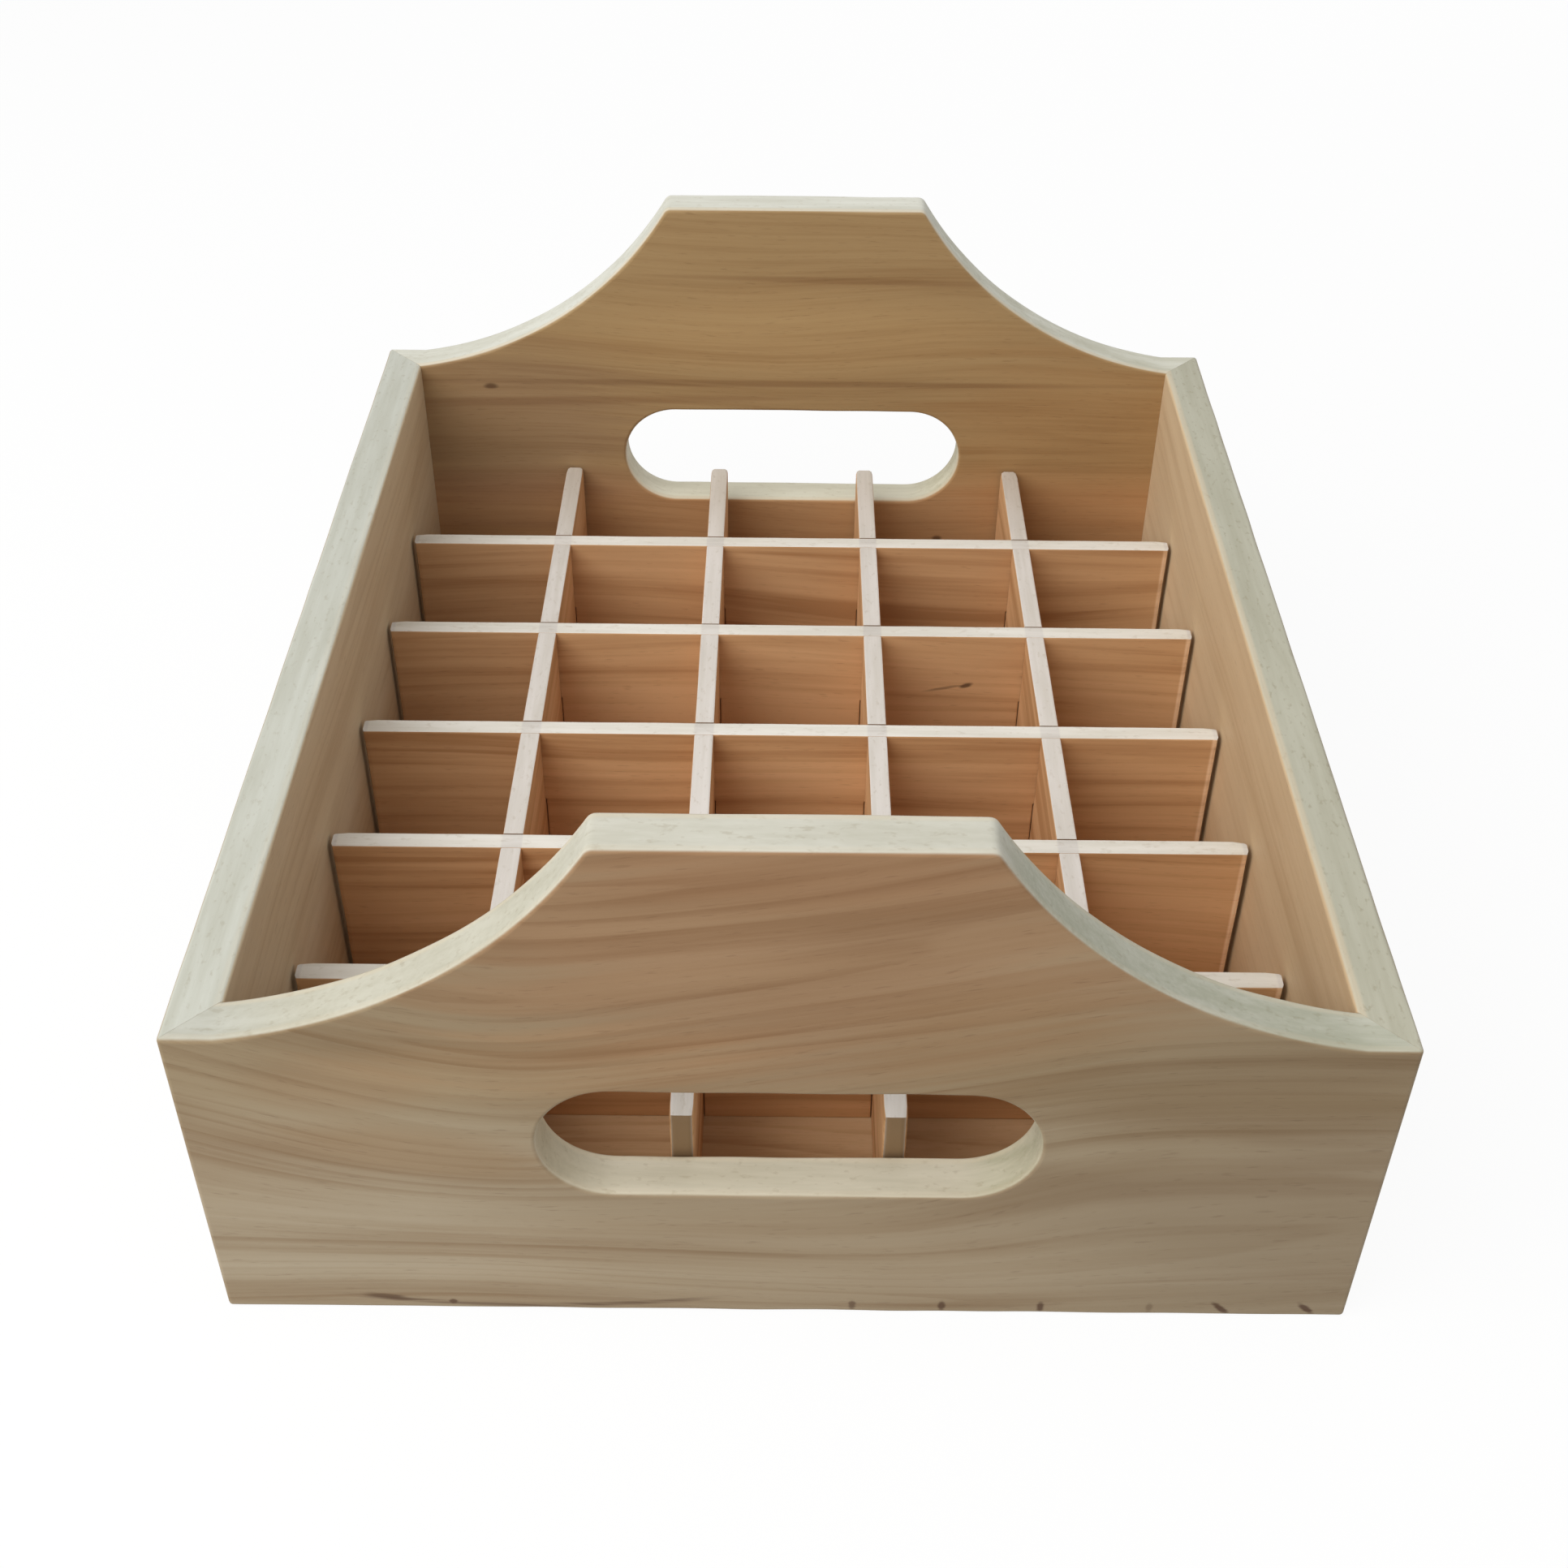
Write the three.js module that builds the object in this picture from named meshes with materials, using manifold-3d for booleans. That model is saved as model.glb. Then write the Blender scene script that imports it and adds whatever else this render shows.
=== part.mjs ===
// Essential oil case: an open wooden caddy with a loose egg-crate of dividers for bottles.
// Millimetres, +Z up, +Y to the back. The origin is the middle of the underside.
import * as THREE from 'three';
import { mergeVertices } from 'three/addons/utils/BufferGeometryUtils.js';
import Module from 'manifold-3d';

const wasm = await Module();
wasm.setup();

// The case as a whole.
const CASE_WIDTH = 220;
const CASE_DEPTH = 256.8;

// The dividers and the bottle cells between them.
const COLUMNS = 5;
const ROWS = 6;
const SIDE_SLACK = 1.9;
const DIVIDER_THICKNESS = 4.5;
const DIVIDER_HEIGHT = 40.4;
const DIVIDER_ARRIS = 0.3;
const LONG_END_GAP = 0.8;
const CROSS_END_GAP = 0.9;
const SLOT_FIT = 0.3;

// The four walls.
const WALL = 9.8;
const RIM_HEIGHT = 75.8;
const PEAK_HEIGHT = 120.5;
const PEAK_FLAT = 66;
const PEAK_EASE = 1.2;
const SHOULDER_RADIUS = 94;
const HAND_HOLE_LENGTH = 92;
const HAND_HOLE_HEIGHT = 28;
const HAND_HOLE_CENTRE = 49.2;
const WALL_ARRIS = 0.7;
const CORNER_RADIUS = 1;
const GLUE_LINE = 0.2;

// The bottom board, let into a rabbet along the foot of the walls.
const FLOOR_THICKNESS = 5;
const RABBET_WIDTH = 5;
const FLOOR_FIT = 0.3;

// The brads that hold the bottom board and pin the corners.
const BRAD_LENGTH = 18;
const BRAD_SHANK = 1.2;
const BRAD_HEAD = 2.2;
const BRAD_HEAD_THICKNESS = 0.6;
const BRAD_TIP = 1.5;
const BRAD_SET = 0.2;
const BRAD_FIT = 0.2;
const BRAD_MARGIN = 28;
const BRADS_PER_END = 3;
const BRADS_PER_SIDE = 4;
const CORNER_BRAD_MARGIN = 18;
const BRAD_FACETS = 10;

// How finely curves are cut, how far a cutting tool runs past the face, and the weld distance.
const CURVE_STEPS = 12;
const CORNER_STEPS = 3;
const OVERRUN = 2;
const WELD = 1e-4;

// Sizes that follow from the ones above.
const INNER_WIDTH = CASE_WIDTH - 2 * WALL;
const INNER_DEPTH = CASE_DEPTH - 2 * WALL;
const COLUMN_PITCH = (INNER_WIDTH - 2 * SIDE_SLACK + DIVIDER_THICKNESS) / COLUMNS;
const ROW_PITCH = (INNER_DEPTH + DIVIDER_THICKNESS) / ROWS;
const RECESS_WIDTH = INNER_WIDTH + 2 * RABBET_WIDTH;
const RECESS_DEPTH = INNER_DEPTH + 2 * RABBET_WIDTH;
const LONG_LENGTH = INNER_DEPTH - 2 * LONG_END_GAP;
const CROSS_LENGTH = INNER_WIDTH - 2 * CROSS_END_GAP;

const QUARTER_TURN = 90;
const HALF_TURN = 180;

// Places spaced evenly about zero.
function spread(count, spacing) {
  return Array.from({ length: count }, (_, i) => (i - (count - 1) / 2) * spacing);
}

// Places of brads along a wall, the outer two at a set distance from the inner corners.
function bradRow(count, room) {
  return spread(count, (room - 2 * BRAD_MARGIN) / (count - 1));
}

// A three.js geometry as a closed solid that can be joined and cut.
function toSolid(geometry) {
  const bare = geometry.clone();
  bare.deleteAttribute('normal');
  bare.deleteAttribute('uv');
  const welded = mergeVertices(bare, WELD);
  const corners = welded.index.array;
  const triangles = [];
  for (let i = 0; i < corners.length; i += 3) {
    const [a, b, c] = corners.slice(i, i + 3);
    if (a !== b && b !== c && c !== a) triangles.push(a, b, c);
  }
  const mesh = new wasm.Mesh({
    numProp: 3,
    vertProperties: Float32Array.from(welded.attributes.position.array),
    triVerts: Uint32Array.from(triangles),
  });
  return new wasm.Manifold(mesh);
}

// A solid as a three.js geometry.
function toGeometry(solid) {
  const { vertProperties, triVerts } = solid.getMesh();
  const geometry = new THREE.BufferGeometry();
  geometry.setAttribute('position', new THREE.BufferAttribute(vertProperties, 3));
  geometry.setIndex(new THREE.BufferAttribute(triVerts, 1));
  geometry.computeVertexNormals();
  return geometry;
}

// A board with eased edges: the outline stands up in X and Z, the thickness is centred on Y.
function board(outline, thickness, arris) {
  const geometry = new THREE.ExtrudeGeometry(outline, {
    depth: thickness - 2 * arris,
    bevelThickness: arris,
    bevelSize: arris,
    bevelOffset: -arris,
    bevelSegments: 1,
    curveSegments: CURVE_STEPS,
  });
  geometry.translate(0, 0, arris - thickness / 2);
  geometry.rotateX(Math.PI / 2);
  return toSolid(geometry);
}

// An upright prism over a plan outline.
function prism(plan, bottom, top) {
  const geometry = new THREE.ExtrudeGeometry(plan, {
    depth: top - bottom,
    bevelEnabled: false,
    curveSegments: CORNER_STEPS,
  });
  geometry.translate(0, 0, bottom);
  return toSolid(geometry);
}

// An end wall's outline: flat over the side walls, concave shoulders, a straight peak, a hand hole.
function endOutline() {
  const half = CASE_WIDTH / 2;
  const foot = new THREE.Vector2(INNER_WIDTH / 2, RIM_HEIGHT);
  const peak = new THREE.Vector2(PEAK_FLAT / 2, PEAK_HEIGHT);
  const chord = peak.clone().sub(foot);
  const middle = foot.clone().add(peak).divideScalar(2);
  const reach = Math.sqrt(SHOULDER_RADIUS ** 2 - chord.lengthSq() / 4);
  const away = new THREE.Vector2(chord.y, -chord.x).normalize();
  const centre = middle.add(away.multiplyScalar(reach));
  const footAngle = Math.atan2(foot.y - centre.y, foot.x - centre.x);
  const peakAngle = Math.atan2(peak.y - centre.y, peak.x - centre.x) + PEAK_EASE / SHOULDER_RADIUS;

  const outline = new THREE.Shape();
  outline.moveTo(-half, 0);
  outline.lineTo(half, 0);
  outline.lineTo(half, RIM_HEIGHT);
  outline.lineTo(foot.x, foot.y);
  outline.absarc(centre.x, centre.y, SHOULDER_RADIUS, footAngle, peakAngle, true);
  outline.quadraticCurveTo(peak.x, peak.y, peak.x - PEAK_EASE, peak.y);
  outline.lineTo(PEAK_EASE - peak.x, peak.y);
  const mirrored = Math.PI - peakAngle;
  const start = new THREE.Vector2(Math.cos(mirrored), Math.sin(mirrored)).multiplyScalar(SHOULDER_RADIUS);
  outline.quadraticCurveTo(-peak.x, peak.y, start.x - centre.x, start.y + centre.y);
  outline.absarc(-centre.x, centre.y, SHOULDER_RADIUS, mirrored, Math.PI - footAngle, true);
  outline.lineTo(-half, RIM_HEIGHT);
  outline.closePath();

  const round = HAND_HOLE_HEIGHT / 2;
  const straight = HAND_HOLE_LENGTH / 2 - round;
  const hole = new THREE.Path();
  hole.moveTo(-straight, HAND_HOLE_CENTRE - round);
  hole.lineTo(straight, HAND_HOLE_CENTRE - round);
  hole.absarc(straight, HAND_HOLE_CENTRE, round, -Math.PI / 2, Math.PI / 2, false);
  hole.lineTo(-straight, HAND_HOLE_CENTRE + round);
  hole.absarc(-straight, HAND_HOLE_CENTRE, round, Math.PI / 2, 1.5 * Math.PI, false);
  hole.closePath();
  outline.holes.push(hole);
  return outline;
}

// A side wall's outline.
function sideOutline() {
  const half = CASE_DEPTH / 2;
  const outline = new THREE.Shape();
  outline.moveTo(-half, 0);
  outline.lineTo(half, 0);
  outline.lineTo(half, RIM_HEIGHT);
  outline.lineTo(-half, RIM_HEIGHT);
  outline.closePath();
  return outline;
}

// The plan of a wall between its two mitres, for a wall whose outer face looks to -Y.
function mitrePlan(span, reach) {
  const joint = GLUE_LINE / Math.SQRT2;
  const outer = { x: span / 2 + OVERRUN - joint, y: -reach / 2 - OVERRUN };
  const inner = { x: span / 2 - WALL - OVERRUN - joint, y: -reach / 2 + WALL + OVERRUN };
  const plan = new THREE.Shape();
  plan.moveTo(-outer.x, outer.y);
  plan.lineTo(outer.x, outer.y);
  plan.lineTo(inner.x, inner.y);
  plan.lineTo(-inner.x, inner.y);
  plan.closePath();
  return plan;
}

// The plan of the whole case with its rounded corners.
function casePlan() {
  const x = CASE_WIDTH / 2 - CORNER_RADIUS;
  const y = CASE_DEPTH / 2 - CORNER_RADIUS;
  const plan = new THREE.Shape();
  plan.absarc(x, -y, CORNER_RADIUS, -Math.PI / 2, 0, false);
  plan.absarc(x, y, CORNER_RADIUS, 0, Math.PI / 2, false);
  plan.absarc(-x, y, CORNER_RADIUS, Math.PI / 2, Math.PI, false);
  plan.absarc(-x, -y, CORNER_RADIUS, Math.PI, 1.5 * Math.PI, false);
  plan.closePath();
  return plan;
}

// A wall cut to its mitres, then turned to its place round the case.
function wall(outline, span, reach, turn) {
  const blank = board(outline, WALL, WALL_ARRIS).translate([0, (WALL - reach) / 2, 0]);
  const mitred = blank.intersect(prism(mitrePlan(span, reach), -OVERRUN, PEAK_HEIGHT + OVERRUN));
  return mitred.rotate([0, 0, turn]);
}

// A divider: a thin board with a slot for each one that crosses it, from its top or its foot.
function divider(length, crossings, fromTop) {
  const half = length / 2;
  const slotHalf = DIVIDER_THICKNESS / 2 + SLOT_FIT;
  const depth = DIVIDER_HEIGHT / 2 + SLOT_FIT;
  const openEdge = fromTop ? DIVIDER_HEIGHT : 0;
  const slotEnd = fromTop ? DIVIDER_HEIGHT - depth : depth;
  const outline = new THREE.Shape();
  outline.moveTo(-half, DIVIDER_HEIGHT - openEdge);
  outline.lineTo(-half, openEdge);
  for (const place of crossings) {
    outline.lineTo(place - slotHalf, openEdge);
    outline.lineTo(place - slotHalf, slotEnd);
    outline.lineTo(place + slotHalf, slotEnd);
    outline.lineTo(place + slotHalf, openEdge);
  }
  outline.lineTo(half, openEdge);
  outline.lineTo(half, DIVIDER_HEIGHT - openEdge);
  outline.closePath();
  return board(outline, DIVIDER_THICKNESS, DIVIDER_ARRIS).translate([0, 0, FLOOR_THICKNESS]);
}

// A brad pointing to +Z with its head at the origin, or with play around it the hole it is driven in.
function bradBody(play, overrun) {
  const head = BRAD_HEAD / 2 + play;
  const shank = BRAD_SHANK / 2 + play;
  const neck = BRAD_HEAD_THICKNESS + play;
  const profile = [
    new THREE.Vector2(0, -overrun),
    new THREE.Vector2(head, -overrun),
    new THREE.Vector2(head, neck),
    new THREE.Vector2(shank, neck),
    new THREE.Vector2(shank, BRAD_LENGTH - BRAD_TIP + play),
    new THREE.Vector2(0, BRAD_LENGTH + play),
  ];
  const geometry = new THREE.LatheGeometry(profile, BRAD_FACETS);
  geometry.rotateX(Math.PI / 2);
  return toSolid(geometry);
}

// Where each brad's head sits, and the turn that points it into the wood.
function bradPlaces() {
  const places = [];
  const endRow = INNER_DEPTH / 2 + RABBET_WIDTH / 2;
  const sideRow = INNER_WIDTH / 2 + RABBET_WIDTH / 2;
  const up = [0, 0, 0];
  for (const y of [-endRow, endRow]) {
    for (const x of bradRow(BRADS_PER_END, INNER_WIDTH)) {
      places.push({ row: 'bottom_brad', at: [x, y, BRAD_SET], turn: up });
    }
  }
  for (const x of [-sideRow, sideRow]) {
    for (const y of bradRow(BRADS_PER_SIDE, INNER_DEPTH)) {
      places.push({ row: 'bottom_brad', at: [x, y, BRAD_SET], turn: up });
    }
  }
  for (const side of [-1, 1]) {
    const x = side * (CASE_WIDTH / 2 - BRAD_SET);
    const turn = [0, -side * QUARTER_TURN, 0];
    for (const y of [(WALL - CASE_DEPTH) / 2, (CASE_DEPTH - WALL) / 2]) {
      for (const z of [CORNER_BRAD_MARGIN, RIM_HEIGHT - CORNER_BRAD_MARGIN]) {
        places.push({ row: 'corner_brad', at: [x, y, z], turn });
      }
    }
  }
  return places;
}

const wallWood = new THREE.MeshStandardMaterial({ color: 0xa98660, roughness: 0.62, metalness: 0 });
const floorWood = new THREE.MeshStandardMaterial({ color: 0x9c744b, roughness: 0.7, metalness: 0 });
const dividerWood = new THREE.MeshStandardMaterial({ color: 0xa87c52, roughness: 0.68, metalness: 0 });
const steel = new THREE.MeshStandardMaterial({ color: 0x9a9a98, roughness: 0.4, metalness: 1 });

const essentialOilCase = new THREE.Group();
essentialOilCase.name = 'essential_oil_case';

function addPiece(name, solid, material) {
  const mesh = new THREE.Mesh(toGeometry(solid), material);
  mesh.name = name;
  essentialOilCase.add(mesh);
}

const brads = bradPlaces();
const bradHole = bradBody(BRAD_FIT, OVERRUN);
const bradHoles = wasm.Manifold.union(brads.map(({ at, turn }) => bradHole.rotate(turn).translate(at)));
const caseBlock = prism(casePlan(), -OVERRUN, PEAK_HEIGHT + OVERRUN);
const floorRecess = wasm.Manifold.cube([RECESS_WIDTH, RECESS_DEPTH, FLOOR_THICKNESS + OVERRUN], true)
  .translate([0, 0, (FLOOR_THICKNESS - OVERRUN) / 2]);

const walls = [
  ['front_panel', wall(endOutline(), CASE_WIDTH, CASE_DEPTH, 0)],
  ['right_panel', wall(sideOutline(), CASE_DEPTH, CASE_WIDTH, QUARTER_TURN)],
  ['back_panel', wall(endOutline(), CASE_WIDTH, CASE_DEPTH, HALF_TURN)],
  ['left_panel', wall(sideOutline(), CASE_DEPTH, CASE_WIDTH, -QUARTER_TURN)],
];
for (const [name, solid] of walls) {
  addPiece(name, solid.intersect(caseBlock).subtract(floorRecess).subtract(bradHoles), wallWood);
}

const floorSize = [RECESS_WIDTH - 2 * FLOOR_FIT, RECESS_DEPTH - 2 * FLOOR_FIT, FLOOR_THICKNESS];
const floorBoard = wasm.Manifold.cube(floorSize, true).translate([0, 0, FLOOR_THICKNESS / 2]);
addPiece('bottom_panel', floorBoard.subtract(bradHoles), floorWood);

const longPlaces = spread(COLUMNS - 1, COLUMN_PITCH);
const crossPlaces = spread(ROWS - 1, ROW_PITCH);
const longBoard = divider(LONG_LENGTH, crossPlaces, true).rotate([0, 0, QUARTER_TURN]);
const crossBoard = divider(CROSS_LENGTH, longPlaces, false);
longPlaces.forEach((x, i) => {
  addPiece(`long_divider_${i + 1}`, longBoard.translate([x, 0, 0]), dividerWood);
});
crossPlaces.forEach((y, i) => {
  addPiece(`cross_divider_${i + 1}`, crossBoard.translate([0, y, 0]), dividerWood);
});

const brad = bradBody(0, 0);
const counts = {};
for (const { row, at, turn } of brads) {
  counts[row] = (counts[row] ?? 0) + 1;
  addPiece(`${row}_${counts[row]}`, brad.rotate(turn).translate(at), steel);
}

export default essentialOilCase;
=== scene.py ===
"""Looks of the essential oil case: eased boards with procedural wood, on a white studio floor."""
import math
from dataclasses import dataclass, replace

import bmesh
import bpy
from mathutils import Matrix, Vector, noise
from mathutils.geometry import tessellate_polygon


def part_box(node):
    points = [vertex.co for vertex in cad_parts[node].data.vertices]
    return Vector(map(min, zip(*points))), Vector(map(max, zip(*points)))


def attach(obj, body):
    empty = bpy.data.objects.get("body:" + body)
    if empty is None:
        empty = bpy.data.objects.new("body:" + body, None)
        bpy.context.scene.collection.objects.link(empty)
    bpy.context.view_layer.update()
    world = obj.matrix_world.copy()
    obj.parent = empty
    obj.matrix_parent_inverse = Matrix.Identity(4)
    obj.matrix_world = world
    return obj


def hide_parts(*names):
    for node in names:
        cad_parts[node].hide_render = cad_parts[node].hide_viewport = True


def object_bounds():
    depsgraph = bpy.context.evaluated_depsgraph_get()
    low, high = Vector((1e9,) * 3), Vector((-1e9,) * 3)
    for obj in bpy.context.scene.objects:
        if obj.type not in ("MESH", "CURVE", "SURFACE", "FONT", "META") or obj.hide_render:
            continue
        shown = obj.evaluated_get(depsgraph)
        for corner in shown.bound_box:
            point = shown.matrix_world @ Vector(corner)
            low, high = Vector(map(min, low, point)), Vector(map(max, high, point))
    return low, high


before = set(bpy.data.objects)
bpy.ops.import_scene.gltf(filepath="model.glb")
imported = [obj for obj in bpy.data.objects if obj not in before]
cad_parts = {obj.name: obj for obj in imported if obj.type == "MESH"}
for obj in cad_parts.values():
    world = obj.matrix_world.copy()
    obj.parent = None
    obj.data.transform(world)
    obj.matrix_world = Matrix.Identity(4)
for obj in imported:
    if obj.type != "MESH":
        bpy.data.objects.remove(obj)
cad_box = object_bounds()


@dataclass
class Layer:
    """A layer of noise: cycles per metre along, across and up a board, its detail and its roughness."""
    stretch: tuple
    detail: float
    rough: float = 0.55


@dataclass
class Look:
    """The wood of a board: a seed for its place in the tree, the colours of its faces, edges and ends in
    linear light, where the edges' colour is paler cut wood with painted sky light on the tops, how much
    each layer of its grain shows, how close its bands are, and the axis that its flat faces look along."""
    seed: float
    face: tuple
    edge: tuple
    contrast: float
    bands: float
    streaks: float
    specks: float
    fibres: float = 0.5
    pitch: float = 1.0
    flat: str = "Y"
    end: tuple = None


MM = 0.001
QUARTER_TURN = math.pi / 2
HALF_TURN = math.pi

# Sizes that the boxes of the nodes don't give, as in the part's source.
PEAK_FLAT = 66 * MM
PEAK_EASE = 1.2 * MM
SHOULDER_RADIUS = 94 * MM
HAND_HOLE_LENGTH = 92 * MM
HAND_HOLE_HEIGHT = 28 * MM
HAND_HOLE_CENTRE = 49.2 * MM
CORNER_RADIUS = 1 * MM
RABBET_WIDTH = 5 * MM
BRAD_HOLE_RADIUS = 1.3 * MM
BRAD_HOLE_DEPTH = 1.2 * MM

# How the boards are finished. Each board's edges wear in their own way.
WALL_ARRIS = 0.75 * MM
DIVIDER_ARRIS = 0.35 * MM
DIVIDER_END_ARRIS = 0.9 * MM
DIVIDER_END = 0.1 * MM
ARRIS_WEAR = 0.45
WEAR_PITCH = 14 * MM
WALL_WEAR_STEP = 31.7
DIVIDER_WEAR_START = 200
DIVIDER_WEAR_STEP = 17.3
SLOT_FIT = 0.12 * MM
GLUE_LINE = 0.025 * MM

# How finely the boards are meshed, and how far uncut ends and cutters reach past a surface.
OUTLINE_STEP = 3 * MM
ARC_STEPS = 40
CORNER_STEPS = 4
WALL_ARRIS_STEPS = 3
DIVIDER_ARRIS_STEPS = 2
ARRIS_GUARD = 0.12 * MM
NARROWEST_MITRE = 0.5
OUTER_ARRIS_DEPTH = 2.5 * WALL_ARRIS
DRILL_SIDES = 20
END_OVERRUN = 3 * MM
CUTTER_OVERRUN = 2 * MM
SAME_PLACE = 1e-7
SHARP_ANGLE = math.radians(38)

# The looks of the boards, each cut from its own place in the tree. The cross dividers have painted light for
# each row, from the front to the back: lighter in the front rows, which the front wall shades, darker behind.
# Each look's edge colour is paler cut wood with painted sky light, which makes the tops paler and greyer.
FRONT_LOOK = Look(seed=3.1, face=(0.37, 0.282, 0.180), edge=(0.58, 0.565, 0.485), contrast=0.95,
                  bands=1.35, streaks=0.55, specks=0.35, fibres=0.35, pitch=1.45)
RIGHT_LOOK = Look(seed=17.9, face=(0.42, 0.32, 0.20), edge=(0.482, 0.468, 0.37), contrast=0.4,
                  bands=1.2, streaks=0.9, specks=0.45)
BACK_LOOK = Look(seed=7.7, face=(0.40, 0.262, 0.122), edge=(0.70, 0.695, 0.615), contrast=0.4,
                 bands=0.6, streaks=1.5, specks=0.3, fibres=1.3)
LEFT_LOOK = Look(seed=12.3, face=(0.42, 0.33, 0.215), edge=(0.545, 0.55, 0.485), contrast=0.5,
                 bands=1.2, streaks=0.9, specks=0.35)
BOTTOM_LOOK = Look(seed=41.3, face=(0.61, 0.41, 0.23), edge=(0.50, 0.36, 0.21), contrast=1.0,
                   bands=1.5, streaks=0.8, specks=0.3, flat="Z")
DIVIDER_LOOK = Look(seed=23.1, face=(0.655, 0.382, 0.189), edge=(0.82, 0.785, 0.715), contrast=0.9,
                    bands=1.2, streaks=1.7, specks=0.3, pitch=1.3, end=(0.28, 0.18, 0.09))
DIVIDER_SEED_STEP = 5.9
ROW_PAINTED_LIGHT = (1.06, 1.06, 0.99, 0.95, 0.92)
SEED_MOVE = (0.137, 0.053, 0.029)

# The layers of the grain, from broad to fine, then those of sawn edges and of drawn wire.
DRIFT = Layer((6.0, 12.0, 12.0), 1.0)
BLOTCHES = Layer((16.0, 20.0, 36.0), 2.0)
BANDS = Layer((4.6, 34.0, 70.0), 2.0, 0.45)
RINGS = Layer((1.5, 26.0, 60.0), 1.0)
STREAKS = Layer((9.0, 150.0, 260.0), 3.0, 0.5)
FIBRES = Layer((24.0, 900.0, 1300.0), 2.0, 0.6)
PORES = Layer((240.0, 2600.0, 2600.0), 1.0)
SAW_MARKS = Layer((30.0, 260.0, 120.0), 3.0)
GRIT = Layer((420.0, 800.0, 800.0), 2.0, 0.6)
TARNISH = Layer((500.0, 500.0, 500.0), 2.0)
SCRATCHES = Layer((2600.0, 2600.0, 2600.0), 3.0, 0.6)

# How the layers make the colour of a face: what they add to its tone, and the shades from dark to light.
MIDDLE = 0.5
DRIFT_FALL = 22 * MM
RING_COUNT = 11.0
LATE_START = (0.45, 0.9)
LATE_END = (1.0, 0.92)
LATE_TONE = -0.2
EARLY_TONE = 0.06
BLOTCH_TONE = 0.5
TONES = (0.1, 0.5, 0.9)
DARK_SHARE = (0.74, 0.66, 0.58)
LIGHT_SHARE = (1.14, 1.19, 1.25)
PORE_FADE = (0.62, 0.8, 0.0, 0.3)
PORE_SHARE = (0.5, 0.42, 0.36)
KNOT = (0.10, 0.05, 0.025)

# How the layers make the colour of a cut edge.
SAW_MARK_TONE = 0.7
FIBRE_TONE = 0.3
SAWN_FADE = (0.3, 0.7)
SAWN_DARK_SHARE = (0.9, 0.89, 0.86)
SAWN_LIGHT_SHARE = (1.06, 1.06, 1.07)
SPECK_FADE = (0.56, 0.74)
SPECK_SHARE = (0.62, 0.55, 0.45)
# The painted highlight along an arris: its colour, and how far it lies in from the inner and the outer arris.
ARRIS_HIGHLIGHT = (0.72, 0.60, 0.43)
INNER_HIGHLIGHT = (2.0 * MM, 1.1 * MM)
OUTER_HIGHLIGHT = (1.9 * MM, 1.1 * MM)

# How squarely a surface faces along an axis to be part of a flat, an upright, an end or one side of a wall.
FLAT_TURN = (0.35, 0.9)
UPRIGHT_TURN = (0.6, 0.3)
END_TURN = (0.85, 0.97)
SIDE_TURN = (-0.3, 0.3)
CORNER_FADE = 0.5 * MM

# How rough the wood and the wire are, and how deep their relief is.
FIBRE_RELIEF = 0.6
STREAK_RELIEF = 0.4
SPECK_RELIEF = 0.5
BUMP_STRENGTH = 0.3
WOOD_BUMP = 0.12 * MM
WOOD_ROUGHNESS = (0.3, 0.7, 0.7, 0.55)
WOOD_SPECULAR = 0.3
WIRE_BUMP = 0.05 * MM
WIRE_ROUGHNESS = (0.3, 0.7, 0.3, 0.5)
WIRE_TONES = (0.35, 0.6)
DULL_WIRE = (0.42, 0.40, 0.37)
BRIGHT_WIRE = (0.62, 0.61, 0.59)

# How ragged the borders of marks and zones are, and how they fade.
SPOT_RAGGED = 0.8
SPOT_FADE = (1.2, 0.4)
LINE_CORE = 0.2
LINE_REACH = 0.6
LINE_BREAKS = (0.25, 0.6)
JOINT_FADE = 0.3 * MM
JOINT_STREAKS = (0.8, 0.3, 0.5)
ZONE_STREAKS = (0.7, 0.35)

# Dents along the front's foot: upright ones with their place and depth, and slanting ones with their place.
FOOT_DENTS = ((12.9 * MM, 0.7), (30.5 * MM, 0.9), (49.9 * MM, 0.9), (71.3 * MM, 0.4))
SLANT_DENTS = (85.2 * MM, 102.1 * MM)

# The front's growth layers: where they turn, how softly, and how steeply they run.
VALLEY_PLACE = -48 * MM
VALLEY_SOFT = 18 * MM
VALLEY_SLOPE = 0.28
SHOULDER_PLACE = 55 * MM
SHOULDER_SOFT = 25 * MM
SHOULDER_SLOPE = -0.19
SWEEP_HEIGHTS = (10 * MM, 62 * MM)

# The camera, fitted to the case's straight edges in the photograph. Its focal length is a share of the
# sensor's width.
CAMERA_PLACE = Vector((-1.74, -365.11, 329.24)) * MM
CAMERA_TILT = math.radians(50.564)
CAMERA_ROLL = math.radians(-0.463)
CAMERA_PAN = math.radians(0.329)
FOCAL_SHARE = 1.26716
SENSOR_WIDTH = 36
NEAREST_SEEN = 10 * MM

# The studio: soft lamps with their place and size in metres and their power in watts, the room and the floor.
LAMPS = {
    "key": ((-0.60, -0.40, 0.76), 1.1, 9.0),
    "front": ((-0.05, -0.52, 0.47), 0.4, 0.45),
    "fill": ((0.95, -0.35, 0.50), 0.8, 0.7),
    "back": ((0.25, 0.95, 0.42), 0.8, 1.6),
}
LAMP_TARGET = Vector((0, 0, 50)) * MM
LAMP_COLOUR = (1.0, 1.0, 0.98)
ROOM_LIGHT = 0.40
ROOM_SEEN = 0.957
FLOOR_RADIUS = 6.0
FLOOR_SIDES = 64
FLOOR_DROP = 0.2 * MM
FLOOR_BOUNCE = 0.5
FLOOR_SEEN = 0.95
FLOOR_GLOW = 0.93

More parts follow.
